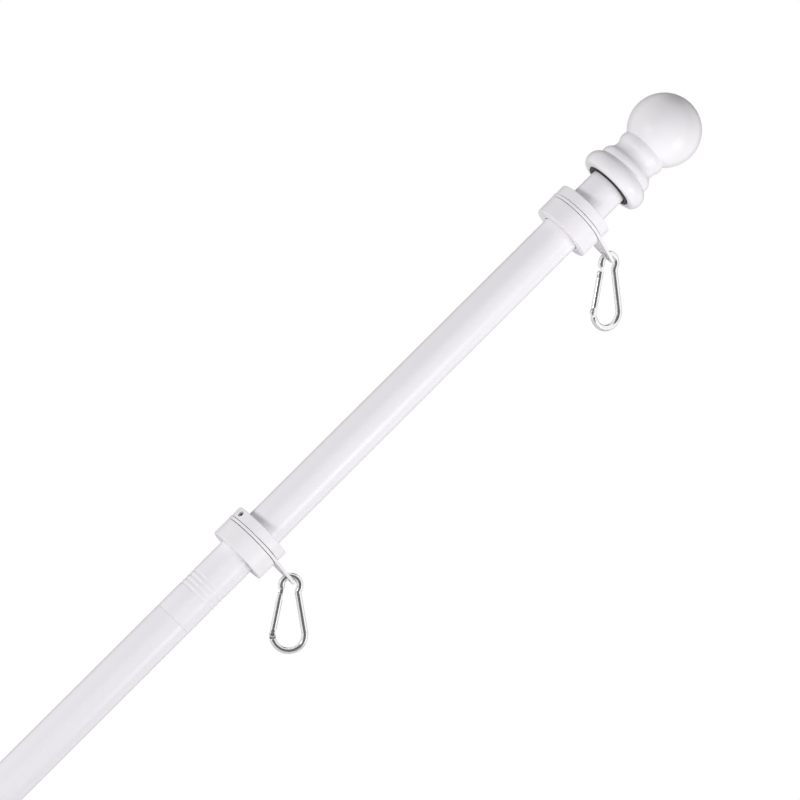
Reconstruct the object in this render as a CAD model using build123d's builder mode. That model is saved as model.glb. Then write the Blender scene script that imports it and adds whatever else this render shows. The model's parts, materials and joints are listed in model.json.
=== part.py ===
"""A sectional wall-bracket flagpole with a ball finial and two spinning flag rings.

Millimetres, +Z up. The pole leans towards +X, and the origin is the centre of its lower end face.
"""

import os
from itertools import accumulate
from math import acos, atan2, cos, degrees, radians, sin, sqrt, tan

from build123d import *

os.makedirs("parts", exist_ok=True)

# Pole
lean_angle = 45.0
section_length = 381.0
section_names = ("bottom_section", "lower_middle_section", "upper_middle_section", "top_section")
tube_diameter = 25.4
tube_wall = 0.8
tube_edge = 0.25

# Rolled grooves above each seam
groove_count = 4
groove_start = 20.1
groove_pitch = 3.36
groove_width = 2.4
groove_depth = 0.3

# Inserts in the seams
insert_names = ("lower_joint_insert", "middle_joint_insert", "upper_joint_insert")
insert_reach = 36.0
insert_wall = 1.6
insert_clearance = 0.1

# Cap in the lower end
cap_head = 2.0
cap_step = 0.2
cap_edge = 0.8
cap_plug_length = 16.0
cap_plug_wall = 1.6
cap_clearance = 0.1

# Finial: turned neck, as thicknesses over the tube and rises from one point of it to the next
rim_foot_wall = 7.8
rim_wall = 9.8
rim_rise = 5.0
rim_groove_wall = 5.1
rim_groove_rise = 7.4
bead_wall = 5.7
bead_rise = 3.0
bead_top_wall = 4.3
bead_top_rise = 2.9
waist_wall = 2.2
waist_rise = 3.7
flare_start_wall = 2.8
flare_start_rise = 3.6
flare_wall = 3.7
flare_rise = 3.3
ball_foot_wall = 2.87
ball_foot_rise = 3.3
ball_diameter = 47.0
ball_wall = 2.6
socket_depth = 28.0
socket_clearance = 0.1
socket_stop = 1.8

# Black liner in the finial's mouth
liner_width = 3.05
liner_depth = 9.0
liner_proud = 0.8
liner_lip = 2.4
liner_lip_gap = 1.0
liner_clearance = 0.1

# Rings: the lower one stands above the top seam, and the upper one hangs below the finial
lower_ring_height = 54.9
upper_ring_drop = 20.4
ring_diameter = 39.5
collar_height = 12.7
collar_edge_radius = 0.5
collar_relief_depth = 6.0
collar_relief_gap = 0.6
collar_clearance = 0.1
hub_wall = 1.8
spinner_thickness = 1.9
spinner_gap = 0.35
spinner_proud = 0.3
spinner_edge = 0.3
lock_height = 7.0

# Set screws in the lock collars, turned about the pole from its underside
screw_diameter = 4.0
screw_recess = 0.8
screw_clearance = 0.1
screw_socket_size = 2.0
screw_socket_depth = 1.6
lower_screw_turn = -165.0
upper_screw_turn = 100.0

# Ear of each spinner, turned about the pole from its underside
ear_hole_play = 3.3
ear_hole_offset = 13.55
ear_rim = 2.6
ear_end_diameter = 9.5
lower_ear_turn = 2.0
upper_ear_turn = 8.0

# Snap hooks: bent wire, hung by the eye and turned about the upright from the plane of the lean
wire_diameter = 4.0
eye_room = 1.1
bow_radius = 10.0
eye_to_bow = 30.9
neck_radius = 2.5
neck_turn = 30.0
hang_angle = 23.0
hook_clearance = 1.2
lower_hook_turn = -15.0
upper_hook_turn = 16.0

# Nose and tongue that the gate closes on
nose_turn = 32.0
nose_reach = 2.9
nose_neck = 1.9
nose_thickness = 1.4
nose_outer = 1.7
nose_head = 0.6
nose_tip = 1.0
nose_corner = 0.5
tongue_thickness = 1.6
tongue_room = 0.7

# Gate, its rivet and its latch pin
gate_diameter = 3.8
gate_offset = -0.6
end_edge_radius = 0.5
fork_clearance = 0.2
fork_root = 3.0
fork_flat = 0.3
nose_root_gap = 0.6
rivet_diameter = 2.0
rivet_head_diameter = 3.2
rivet_head_height = 0.5
latch_pin_diameter = 1.4
latch_drop = 1.7
latch_clearance = 0.2
pin_clearance = 0.05

# One overrun for all cuts
overrun = 1.0

# Directions of the pole
lean = radians(lean_angle)
up_pole = Vector(sin(lean), 0, cos(lean))
under_pole = Vector(cos(lean), 0, -sin(lean))
pole_axis = Axis((0, 0, 0), up_pole)
profile_plane = Plane((0, 0, 0), x_dir=under_pole, z_dir=(0, -1, 0))

# Sizes that follow from those above
tube_radius = tube_diameter / 2
bore_radius = tube_radius - tube_wall
mouth_height = section_length * len(section_names)
top_seam = mouth_height - section_length
ring_radius = ring_diameter / 2
hub_radius = tube_radius + collar_clearance + hub_wall
hub_height = spinner_thickness + 2 * spinner_gap
ring_stack = collar_height + hub_height + lock_height
wire_radius = wire_diameter / 2
gate_radius = gate_diameter / 2
ear_reach = ring_radius + ear_hole_offset
ear_hole_radius = wire_radius + ear_hole_play / 2
eye_radius = wire_radius + ear_rim + eye_room


def keep(name, part):
    """Label a finished piece and write it."""
    part.label = name
    export_step(part, f"parts/{name}.step")


def outward(turn):
    """The direction out from the pole, turned about it from its underside."""
    return under_pole * cos(radians(turn)) + Vector(0, sin(radians(turn)), 0)


def across_pole(height, turn=0):
    """The plane across the pole at a height along it, with its x outwards at a turn."""
    return Plane(up_pole * height, x_dir=outward(turn), z_dir=up_pole)


def tube_section(start, end, has_grooves):
    """A length of tube, with rolled grooves above its lower end if it stands on another."""
    with BuildPart() as section:
        with BuildSketch(profile_plane):
            with BuildLine():
                Polyline(
                    (tube_radius - tube_edge, end),
                    (bore_radius, end),
                    (bore_radius, start),
                    (tube_radius - tube_edge, start),
                    (tube_radius, start + tube_edge),
                )
                reached = start + tube_edge
                for index in range(groove_count if has_grooves else 0):
                    middle = start + groove_start + index * groove_pitch
                    Line((tube_radius, reached), (tube_radius, middle - groove_width / 2))
                    reached = middle + groove_width / 2
                    ThreePointArc(
                        (tube_radius, middle - groove_width / 2),
                        (tube_radius - groove_depth, middle),
                        (tube_radius, reached),
                    )
                Polyline(
                    (tube_radius, reached),
                    (tube_radius, end - tube_edge),
                    (tube_radius - tube_edge, end),
                )
            make_face()
        revolve(axis=pole_axis)
    return section.part


# The bottom section stands on the cap, and the top one ends at the finial's stop
section_seams = [index * section_length for index in range(1, len(section_names))]
section_starts = [cap_head, *section_seams]
section_ends = [*section_seams, mouth_height + socket_depth]
for name, start, end in zip(section_names, section_starts, section_ends):
    keep(name, tube_section(start, end, start in section_seams))


def joint_insert(seam):
    """The sleeve inside a seam, half in each section."""
    insert_radius = bore_radius - insert_clearance
    with BuildPart() as insert:
        with BuildSketch(across_pole(seam - insert_reach)):
            Circle(insert_radius)
            Circle(insert_radius - insert_wall, mode=Mode.SUBTRACT)
        extrude(amount=2 * insert_reach)
    return insert.part


for name, seam in zip(insert_names, section_seams):
    keep(name, joint_insert(seam))

# Cap: a head no wider than the tube, and a hollow plug inside it
cap_radius = tube_radius - cap_step
plug_radius = bore_radius - cap_clearance
with BuildPart() as end_cap:
    with BuildSketch(profile_plane):
        with BuildLine():
            Polyline(
                (0, 0),
                (cap_radius - cap_edge, 0),
                (cap_radius, cap_edge),
                (cap_radius, cap_head),
                (plug_radius, cap_head),
                (plug_radius, cap_head + cap_plug_length),
                (plug_radius - cap_plug_wall, cap_head + cap_plug_length),
                (plug_radius - cap_plug_wall, cap_head),
                (0, cap_head),
                close=True,
            )
        make_face()
    revolve(axis=pole_axis)
keep("end_cap", end_cap.part)

# Finial: a turned neck of four arcs under a hollow ball, bored for the tube and the liner
neck_walls = (
    rim_foot_wall,
    rim_wall,
    rim_groove_wall,
    bead_wall,
    bead_top_wall,
    waist_wall,
    flare_start_wall,
    flare_wall,
    ball_foot_wall,
)
neck_rises = (
    rim_rise,
    rim_groove_rise,
    bead_rise,
    bead_top_rise,
    waist_rise,
    flare_start_rise,
    flare_rise,
    ball_foot_rise,
)
neck_heights = accumulate(neck_rises, initial=mouth_height)
neck_points = [(tube_radius + wall, height) for wall, height in zip(neck_walls, neck_heights)]
ball_radius = ball_diameter / 2
ball_foot_radius, ball_foot_height = neck_points[-1]
ball_centre = ball_foot_height + sqrt(ball_radius**2 - ball_foot_radius**2)
mouth_radius = tube_radius + liner_width
finial_bores = (
    (mouth_radius, liner_depth),
    (tube_radius + socket_clearance, socket_depth),
    (bore_radius - socket_stop, ball_centre - mouth_height),
)
with BuildPart() as finial_ball:
    with BuildSketch(profile_plane):
        with BuildLine():
            Line((0, mouth_height), neck_points[0])
            for index in range(0, len(neck_rises), 2):
                ThreePointArc(neck_points[index : index + 3])
            ThreePointArc(neck_points[-1], (ball_radius, ball_centre), (0, ball_centre + ball_radius))
            Line((0, ball_centre + ball_radius), (0, mouth_height))
        make_face()
    revolve(axis=pole_axis)
    with Locations(across_pole(ball_centre)):
        Sphere(ball_radius - ball_wall, mode=Mode.SUBTRACT)
    for radius, depth in finial_bores:
        with BuildSketch(across_pole(mouth_height)):
            Circle(radius)
        extrude(amount=depth, mode=Mode.SUBTRACT)
keep("finial_ball", finial_ball.part)

# Liner: a black sleeve that stands proud of the mouth, wider than the tube at its lip
liner_radius = mouth_radius - liner_clearance
liner_bore = tube_radius + liner_clearance
with BuildPart() as finial_liner:
    with BuildSketch(profile_plane):
        with BuildLine():
            Polyline(
                (tube_radius + liner_lip_gap, mouth_height - liner_proud),
                (liner_radius, mouth_height - liner_proud),
                (liner_radius, mouth_height + liner_depth),
                (liner_bore, mouth_height + liner_depth),
                (liner_bore, mouth_height - liner_proud + liner_lip),
                close=True,
            )
        make_face()
    revolve(axis=pole_axis)
keep("finial_liner", finial_liner.part)


# Rings: a wide collar with a hub, a spinner on the hub, and a lock collar with its screw
def ring_collar(foot):
    """The wide collar, with a relief in its bore and the hub that carries the spinner."""
    bore = tube_radius + collar_clearance
    relief = tube_radius + collar_relief_gap
    top = foot + collar_height
    with BuildPart() as collar:
        with BuildSketch(profile_plane) as outline:
            with BuildLine():
                Polyline(
                    (relief, foot),
                    (ring_radius, foot),
                    (ring_radius, top),
                    (hub_radius, top),
                    (hub_radius, top + hub_height),
                    (bore, top + hub_height),
                    (bore, foot + collar_relief_depth),
                    (relief, foot + collar_relief_depth),
                    close=True,
                )
            make_face()
            fillet(outline.vertices().group_by(Axis.X)[-1], collar_edge_radius)
        revolve(axis=pole_axis)
    return collar.part


def spinner(foot, turn):
    """The thin ring that turns on the hub, with a drop-shaped ear and the ear's hole."""
    ear_end = ear_end_diameter / 2
    with BuildPart() as ring:
        with BuildSketch(across_pole(foot, turn)):
            Circle(ring_radius + spinner_proud)
            with Locations((ear_reach + ear_hole_radius + ear_rim - ear_end, 0)):
                Circle(ear_end)
            make_hull()
            Circle(hub_radius + spinner_gap, mode=Mode.SUBTRACT)
            with Locations((ear_reach, 0)):
                Circle(ear_hole_radius, mode=Mode.SUBTRACT)
        extrude(amount=spinner_thickness)
        faces = ring.faces().sort_by(pole_axis)
        chamfer(faces[0].outer_wire().edges() + faces[-1].outer_wire().edges(), spinner_edge)
    return ring.part


def screw_plane(foot, turn):
    """The plane square to a set screw, through the pole's axis, with its z outwards."""
    return Plane(up_pole * (foot + lock_height / 2), x_dir=up_pole, z_dir=outward(turn))


def lock_collar(foot, turn):
    """The narrow collar that traps the spinner, with the hole of its set screw."""
    bore = tube_radius + collar_clearance
    with BuildPart() as collar:
        with BuildSketch(profile_plane) as outline:
            with Locations((bore, foot)):
                Rectangle(ring_radius - bore, lock_height, align=(Align.MIN, Align.MIN))
            fillet(outline.vertices().group_by(Axis.X)[-1], collar_edge_radius)
        revolve(axis=pole_axis)
        with BuildSketch(screw_plane(foot, turn)):
            Circle(screw_diameter / 2)
        extrude(amount=ring_radius + overrun, mode=Mode.SUBTRACT)
    return collar.part


def set_screw(foot, turn):
    """The grub screw that bears on the tube, with its hexagon socket."""
    base = screw_plane(foot, turn)
    with BuildPart() as screw:
        with BuildSketch(base.offset(tube_radius + screw_clearance)):
            Circle(screw_diameter / 2 - screw_clearance)
        extrude(amount=ring_radius - screw_recess - tube_radius - screw_clearance)
        with BuildSketch(base.offset(ring_radius - screw_recess)):
            RegularPolygon(screw_socket_size / 2, 6, major_radius=False)
        extrude(amount=-screw_socket_depth, mode=Mode.SUBTRACT)
    return screw.part


# Snap hook, drawn flat: the eye's centre is at zero and the bow's centre straight below it
bow_centre = Vector(0, -eye_to_bow)
rivet_point = Vector(-bow_radius, -eye_to_bow)
gate_reach = eye_radius + gate_offset
nose_angle = atan2(rivet_point.Y, rivet_point.X) + radians(360) - acos(gate_reach / rivet_point.length)
nose_side = Vector(cos(nose_angle), sin(nose_angle))
gate_way = (nose_side * gate_reach - rivet_point).normalized()
gate_inward = Vector(gate_way.Y, -gate_way.X)

# The eye's wire curls in from the line of the gate, and the nose goes down from its end
eye_start = nose_angle + radians(nose_turn)
shoulder_point = Vector(cos(eye_start), sin(eye_start)) * eye_radius
shoulder = (shoulder_point - rivet_point).dot(gate_way)
neck_inset = (shoulder_point - rivet_point).dot(gate_inward)

# The back of the hook is the straight line that touches the neck's bend and the bow
neck = radians(neck_turn)
neck_centre = Vector(cos(neck), -sin(neck)) * (eye_radius + neck_radius)
neck_from_bow = neck_centre - bow_centre
back_lean = atan2(neck_from_bow.Y, neck_from_bow.X) - acos((neck_radius + bow_radius) / neck_from_bow.length)
back_angle = degrees(back_lean)
back_side = Vector(cos(back_lean), sin(back_lean))
back_top = neck_centre - back_side * neck_radius
back_foot = bow_centre + back_side * bow_radius
tongue_gap = gate_radius + tongue_room
bow_turn = 180 + back_angle - degrees(tongue_gap / bow_radius)
wire_end_angle = radians(180) + tongue_gap / bow_radius
wire_end = bow_centre + Vector(cos(wire_end_angle), sin(wire_end_angle)) * bow_radius

# The gate's own lengths, from its rivet along its axis
gate_top = shoulder - nose_reach
latch_height = gate_top - latch_drop
notch_width = latch_pin_diameter + 2 * latch_clearance
nose_inner = neck_inset + nose_neck / 2
notch_length = nose_inner + notch_width
nose_top = latch_height + notch_width / 2 + nose_head
nose_end = latch_height - notch_width / 2 - nose_tip
fork_half_width = gate_radius - fork_flat


def flat_point(point):
    """A point of the hook's flat drawing, as a pair."""
    return (point.X, point.Y)


def hook_plane(foot, ear_turn, turn):
    """The plane of a hook that hangs in the ear of the spinner at this height.

    The wire slants through the hole's outer side, and the hook turns about the upright through it.
    """
    hang = radians(hang_angle)
    ahead = Vector(cos(radians(turn)), sin(radians(turn)), 0)
    slant = acos(up_pole.dot(ahead * cos(hang) + Vector(0, 0, 1) * sin(hang)))
    wire_half = wire_radius / cos(slant) + spinner_thickness / 2 * tan(slant)
    wire_reach = ear_reach + ear_hole_radius - wire_half - hook_clearance
    in_hole = up_pole * (foot + spinner_thickness / 2) + outward(ear_turn) * wire_reach
    eye_centre = in_hole + (ahead * sin(hang) - Vector(0, 0, 1) * cos(hang)) * eye_radius
    return Plane(eye_centre, x_dir=ahead, z_dir=ahead.cross(Vector(0, 0, 1)))


def gate_plane(plane):
    """The same plane at the rivet, with its y along the gate and its x into the hook."""
    inward = plane.from_local_coords(gate_inward) - plane.origin
    return Plane(plane.from_local_coords(rivet_point), x_dir=inward, z_dir=plane.z_dir)


def hook_body(plane):
    """Bent wire from the nose over the eye, down the back and round the bow to the tongue."""
    with BuildPart() as body:
        with BuildLine(plane) as path:
            CenterArc((0, 0), eye_radius, degrees(eye_start), -degrees(eye_start) - neck_turn)
            CenterArc(flat_point(neck_centre), neck_radius, 180 - neck_turn, neck_turn + back_angle)
            Line(flat_point(back_top), flat_point(back_foot))
            CenterArc(flat_point(bow_centre), bow_radius, back_angle, -bow_turn)
        spine = path.wires()[0]
        with BuildSketch(Plane(spine @ 0, z_dir=spine % 0)):
            Circle(wire_radius)
        sweep(path=spine)
        fillet(body.faces().sort_by_distance(spine @ 0)[0].edges(), end_edge_radius)
        # Flat nose: a narrow neck from the wire's end, and a head with a notch for the latch pin
        with BuildSketch(gate_plane(plane)) as nose:
            with Locations((-nose_outer, nose_end)):
                Rectangle(nose_outer + nose_inner, nose_top - nose_end, align=(Align.MIN, Align.MIN))
            fillet(nose.vertices(), nose_corner)
            with Locations((neck_inset, latch_height)):
                Rectangle(
                    nose_neck,
                    shoulder + wire_radius - latch_height,
                    align=(Align.CENTER, Align.MIN),
                )
            with Locations((notch_length / 2, latch_height)):
                SlotCenterToCenter(notch_length, notch_width, mode=Mode.SUBTRACT)
        extrude(amount=nose_thickness / 2, both=True)
        # Flat tongue for the gate's fork, with the rivet's hole
        with BuildSketch(plane):
            between = wire_end - rivet_point
            with Locations(rivet_point + between / 2):
                SlotCenterToCenter(
                    between.length,
                    wire_diameter,
                    rotation=degrees(atan2(between.Y, between.X)),
                )
            with Locations(rivet_point):
                Circle(rivet_diameter / 2 + pin_clearance, mode=Mode.SUBTRACT)
        extrude(amount=tongue_thickness / 2, both=True)
    return body.part


def hook_gate(plane):
    """A straight round gate, forked at the rivet and slotted for the nose."""
    flat = gate_plane(plane)
    fork_slot = tongue_thickness + 2 * fork_clearance
    nose_slot = nose_thickness + 2 * fork_clearance
    nose_floor = nose_end - nose_root_gap
    with BuildPart() as gate:
        with BuildSketch(Plane(flat.origin, x_dir=flat.x_dir, z_dir=flat.y_dir)):
            Circle(gate_radius)
        extrude(amount=gate_top)
        fillet(gate.faces().sort_by(Axis(flat.origin, flat.y_dir))[-1].edges(), end_edge_radius)
        with BuildSketch(flat):
            with BuildLine():
                CenterArc((0, 0), gate_radius, 270, 90)
                Polyline((gate_radius, 0), (0, 0), (0, -gate_radius))
            make_face()
        revolve(axis=Axis(flat.origin, flat.y_dir))
        with BuildSketch(flat):
            Rectangle(gate_diameter + overrun, 2 * fork_root)
        extrude(amount=fork_slot / 2, both=True, mode=Mode.SUBTRACT)
        with BuildSketch(flat):
            with Locations((0, nose_floor)):
                Rectangle(
                    gate_diameter + overrun,
                    gate_top - nose_floor + overrun,
                    align=(Align.CENTER, Align.MIN),
                )
        extrude(amount=nose_slot / 2, both=True, mode=Mode.SUBTRACT)
        for side in (flat.offset(fork_half_width), flat.offset(-gate_radius)):
            with BuildSketch(side):
                Rectangle(gate_diameter + overrun, 2 * fork_root)
            extrude(amount=gate_radius - fork_half_width, mode=Mode.SUBTRACT)
        with BuildSketch(flat):
            Circle(rivet_diameter / 2 + pin_clearance)
            with Locations((0, latch_height)):
                Circle(latch_pin_diameter / 2 + pin_clearance)
        extrude(amount=gate_diameter, both=True, mode=Mode.SUBTRACT)
    return gate.part


def gate_rivet(plane):
    """The rivet through the fork and the tongue, with a flat head on each side."""
    flat = gate_plane(plane)
    seat = fork_half_width + pin_clearance
    with BuildPart() as rivet:
        with BuildSketch(flat):
            Circle(rivet_diameter / 2)
        extrude(amount=seat, both=True)
        for side in (flat.offset(seat), flat.offset(-seat - rivet_head_height)):
            with BuildSketch(side):
                Circle(rivet_head_diameter / 2)
            extrude(amount=rivet_head_height)
    return rivet.part


def latch_pin(plane):
    """The cross pin in the gate that drops into the nose's notch."""
    with BuildPart() as pin:
        with BuildSketch(gate_plane(plane)):
            with Locations((0, latch_height)):
                Circle(latch_pin_diameter / 2)
        extrude(amount=gate_radius - pin_clearance, both=True)
    return pin.part


lower_foot = top_seam + lower_ring_height
upper_foot = mouth_height - upper_ring_drop - ring_stack
rings = (
    ("lower", lower_foot, lower_screw_turn, lower_ear_turn, lower_hook_turn),
    ("upper", upper_foot, upper_screw_turn, upper_ear_turn, upper_hook_turn),
)
for level, ring_foot, screw_turn, ear_turn, hook_turn in rings:
    spinner_foot = ring_foot + collar_height + spinner_gap
    lock_foot = ring_foot + collar_height + hub_height
    hook = hook_plane(spinner_foot, ear_turn, hook_turn)
    keep(f"{level}_ring_collar", ring_collar(ring_foot))
    keep(f"{level}_spinner", spinner(spinner_foot, ear_turn))
    keep(f"{level}_lock_collar", lock_collar(lock_foot, screw_turn))
    keep(f"{level}_set_screw", set_screw(lock_foot, screw_turn))
    keep(f"{level}_hook_body", hook_body(hook))
    keep(f"{level}_hook_gate", hook_gate(hook))
    keep(f"{level}_gate_rivet", gate_rivet(hook))
    keep(f"{level}_latch_pin", latch_pin(hook))
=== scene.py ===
"""The looks of a sectional wall-bracket flagpole with a ball finial and two spinning flag rings.

Metres, +Z up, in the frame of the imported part.
"""

import json
from itertools import accumulate
from math import acos, asin, atan2, cos, pi, radians, sin, sqrt

import bmesh
import bpy
import numpy as np
from mathutils import Matrix, Vector

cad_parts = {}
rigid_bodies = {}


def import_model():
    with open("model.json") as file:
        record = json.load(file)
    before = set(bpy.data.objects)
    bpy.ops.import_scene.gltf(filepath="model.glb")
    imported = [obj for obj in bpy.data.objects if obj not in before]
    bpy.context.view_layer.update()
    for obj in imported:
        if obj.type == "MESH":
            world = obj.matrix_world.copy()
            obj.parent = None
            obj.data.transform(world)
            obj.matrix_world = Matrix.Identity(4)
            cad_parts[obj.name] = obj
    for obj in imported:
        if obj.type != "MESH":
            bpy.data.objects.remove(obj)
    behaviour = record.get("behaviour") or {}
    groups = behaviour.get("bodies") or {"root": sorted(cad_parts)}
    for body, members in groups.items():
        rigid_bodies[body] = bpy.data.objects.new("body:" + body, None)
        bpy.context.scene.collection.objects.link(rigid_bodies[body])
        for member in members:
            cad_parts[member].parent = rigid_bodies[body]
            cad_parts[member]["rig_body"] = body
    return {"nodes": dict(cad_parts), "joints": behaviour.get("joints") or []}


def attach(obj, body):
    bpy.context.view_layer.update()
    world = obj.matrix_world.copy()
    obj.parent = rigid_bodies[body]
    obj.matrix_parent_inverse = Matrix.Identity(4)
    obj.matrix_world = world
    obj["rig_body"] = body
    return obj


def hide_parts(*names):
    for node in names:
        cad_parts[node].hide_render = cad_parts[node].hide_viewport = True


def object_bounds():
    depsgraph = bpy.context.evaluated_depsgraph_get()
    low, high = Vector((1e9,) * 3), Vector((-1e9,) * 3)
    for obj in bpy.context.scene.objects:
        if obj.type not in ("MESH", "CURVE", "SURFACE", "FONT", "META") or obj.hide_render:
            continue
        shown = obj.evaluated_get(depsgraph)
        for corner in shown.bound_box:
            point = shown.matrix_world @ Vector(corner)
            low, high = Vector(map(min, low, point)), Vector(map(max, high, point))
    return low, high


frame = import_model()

cad_low, cad_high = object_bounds()
levels = ("lower", "upper")
joints = {joint["name"]: joint for joint in frame["joints"]}

# Directions of the pole
upright = np.array((0.0, 0.0, 1.0))
sideways = np.array((0.0, 1.0, 0.0))
up_pole = np.array(joints["lower_ring_spin"]["axis"])
under_pole = np.cross(sideways, up_pole)

# Tube
tube_radius = 0.0127
tube_bore = 0.0119
tube_edge = 0.00040
groove_count = 4
groove_start = 0.0201
groove_pitch = 0.00336
groove_half = 0.0014
groove_depth = 0.0003

# Finial: thicknesses of its neck over the tube, and rises from one point to the next
neck_walls = (0.0078, 0.0098, 0.0051, 0.0057, 0.0043, 0.0022, 0.0028, 0.0037, 0.00287)
neck_rises = (0.0050, 0.0074, 0.0030, 0.0029, 0.0037, 0.0036, 0.0033, 0.0033)
neck_softness = 0.00045
ball_radius = 0.0235
ball_wall = 0.0026
mouth_radius = 0.01575
mouth_lip = 0.0006
mouth_depth = 0.0090
socket_radius = 0.0128
socket_depth = 0.0280
stop_radius = 0.0101

# Spinner plates
plate_radius = 0.02005
plate_bore = 0.01495
plate_edge = 0.0003
ear_hole_radius = 0.00365
ear_hole_reach = 0.0333
ear_rim = 0.0026
ear_end_radius = 0.00475
ear_neck_reach = 0.0225
ear_turns = {"lower": radians(2), "upper": radians(8)}

# Set screws
ring_radius = 0.01975
screw_turns = {"lower": radians(-165), "upper": radians(100)}
screw_recess = 0.0008
screw_radius = 0.0019
screw_foot = 0.0128
screw_chamfer = 0.0003
screw_socket_half = 0.0010
screw_socket_depth = 0.0016
thread_pitch = 0.0007
thread_depth = 0.00025
thread_run_out = 0.4

# Snap hooks
wire_radius = 0.0020
wire_edge = 0.0005
eye_radius = 0.0057
neck_bend_radius = 0.0025
neck_turn = radians(30)
nose_turn = radians(32)
nose_reach = 0.0029
nose_half = 0.0007
nose_neck_half = 0.00095
nose_outer = 0.0017
nose_head = 0.0006
nose_tip = 0.0010
nose_corner = 0.0005
notch_radius = 0.0009
tongue_half = 0.0008
tongue_room = 0.0007
flat_power = 8.0

# Gates, rivets and latch pins
gate_radius = 0.0019
gate_offset = -0.0006
gate_edge = 0.0005
gate_bevel = 0.00012
fork_root = 0.0030
fork_slot_half = 0.0010
fork_half = 0.0016
nose_slot_half = 0.0009
nose_root_gap = 0.0006
rivet_radius = 0.0010
rivet_head_radius = 0.0016
rivet_head_height = 0.0005
rivet_rim_share = 0.3
latch_radius = 0.0007
latch_drop = 0.0017
latch_half = 0.0019
latch_dome = 0.0001

# Numbers of points
turn_columns = 96
finial_columns = 112
wire_columns = 40
small_columns = 48
pin_columns = 24
card_columns = 64
card_rows = 9
arc_steps = 7
groove_steps = 17
neck_arc_steps = 60
neck_profile_rows = 130
ball_steps = 200
ball_rows = 56
softening_steps = 15
cavity_steps = 24
chord_steps = 25
plate_side_steps = 12
plate_disc_steps = 90
ear_side_steps = 16
ear_end_steps = 40
plate_edge_steps = 6
plate_field_steps = 6
thread_rows = 80
wire_arc_steps = 160
neck_bend_steps = 24
path_steps = 1200
wire_rows = 170
tongue_rows = 5
notch_steps = 15
nose_neck_steps = 6
cheek_steps = 21
cheek_rows = 6
fork_rows = 9
slot_steps = 9
rivet_dome_steps = 10
latch_dome_steps = 7

# Meshing: angles over which an edge is sharp, and the distance under which points merge
soft_angle = radians(38)
screw_soft_angle = radians(25)
gate_soft_angle = radians(60)
gate_bevel_angle = radians(50)
gate_bevel_segments = 2
merge_distance = 1e-7


def sheet(points, close_rows=False, close_columns=False):
    """A grid of points as vertices, four-sided faces and a map of (share across, distance along).

    Rows or columns that close are joined from the last to the first.
    """
    rows, columns = points.shape[:2]
    row, column = np.meshgrid(
        np.arange(rows if close_rows else rows - 1),
        np.arange(columns if close_columns else columns - 1),
        indexing="ij",
    )
    corner_rows = np.stack((row, row, row + 1, row + 1), -1).reshape(-1, 4)
    corner_columns = np.stack((column, column + 1, column + 1, column), -1).reshape(-1, 4)
    faces = corner_rows % rows * columns + corner_columns % columns
    ring = np.concatenate((points, points[:1]))
    steps = np.linalg.norm(np.diff(ring, axis=0), axis=2).mean(1)
    distance = np.concatenate(([0.0], np.cumsum(steps)))
    chart = np.stack((corner_columns / columns, distance[corner_rows]), -1)
    return points.reshape(-1, 3), faces, chart


def piece(name, *sheets, sharp=soft_angle):
    """One mesh of several sheets, with meeting edges merged, faces outwards and soft shading."""
    starts = np.cumsum([0] + [len(vertices) for vertices, faces, chart in sheets])
    vertices = np.concatenate([sheet_part[0] for sheet_part in sheets])
    faces = np.concatenate([sheet_part[1] + start for sheet_part, start in zip(sheets, starts)])
    chart = np.concatenate([sheet_part[2] for sheet_part in sheets])
    mesh = bpy.data.meshes.new(name)
    mesh.from_pydata(vertices.tolist(), [], faces.tolist())
    mesh.uv_layers.new(name="run").data.foreach_set("uv", chart.ravel())
    work = bmesh.new()
    work.from_mesh(mesh)
    bmesh.ops.remove_doubles(work, verts=work.verts, dist=merge_distance)
    bmesh.ops.recalc_face_normals(work, faces=work.faces)
    work.to_mesh(mesh)
    work.free()
    mesh.polygons.foreach_set("use_smooth", np.ones(len(mesh.polygons), dtype=bool))
    mesh.set_sharp_from_angle(angle=sharp)
    made = bpy.data.objects.new(name, mesh)
    bpy.context.scene.collection.objects.link(made)
    return made


def stand_for(made, node, material):
    """A piece takes the place and body of a node, and is given a material."""
    made.data.materials.append(material)
    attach(made, frame["nodes"][node]["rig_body"])
    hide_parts(node)


def outward(turn):
    """The direction out from the pole, turned about it from its underside."""
    return under_pole * cos(turn) + sideways * sin(turn)


def span(node):
    """The lowest and highest reach of a node along the pole."""
    vertices = frame["nodes"][node].data.vertices
    places = np.empty(3 * len(vertices))
    vertices.foreach_get("co", places)
    heights = places.reshape(-1, 3) @ up_pole
    return heights.min(), heights.max()


def quarter(centre, radius, start):
    """A quarter circle from a start angle, anticlockwise: centre + radius (cos, sin)."""
    angle = start + np.linspace(0, pi / 2, arc_steps)
    return np.array(centre) + radius * np.stack((np.cos(angle), np.sin(angle)), -1)


def arc_through(first, middle, last, steps):
    """The circle through three points, as centre + radius (cos, sin) between the two end angles."""
    first, middle, last = (complex(*point) for point in (first, middle, last))
    ratio = (last - first) / (middle - first)
    centre = first + (middle - first) * (ratio - abs(ratio) ** 2) / (ratio - ratio.conjugate())
    turn = np.angle((last - middle) / (middle - first)) * 2
    points = centre + (first - centre) * np.exp(1j * turn * np.linspace(0, 1, steps))
    return np.stack((points.real, points.imag), -1)


def turned(profile, base, axis, side, close_rows, columns=turn_columns):
    """A profile of (radius, height) turned about an axis.

    A point is base + axis * height + (side * cos a + across * sin a) * radius.
    """
    angle = np.linspace(0, 2 * pi, columns, endpoint=False)[:, None]
    ring = side * np.cos(angle) + np.cross(axis, side) * np.sin(angle)
    points = base + profile[:, None, 1:] * axis + profile[:, None, :1] * ring
    return sheet(points, close_rows, True)


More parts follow.
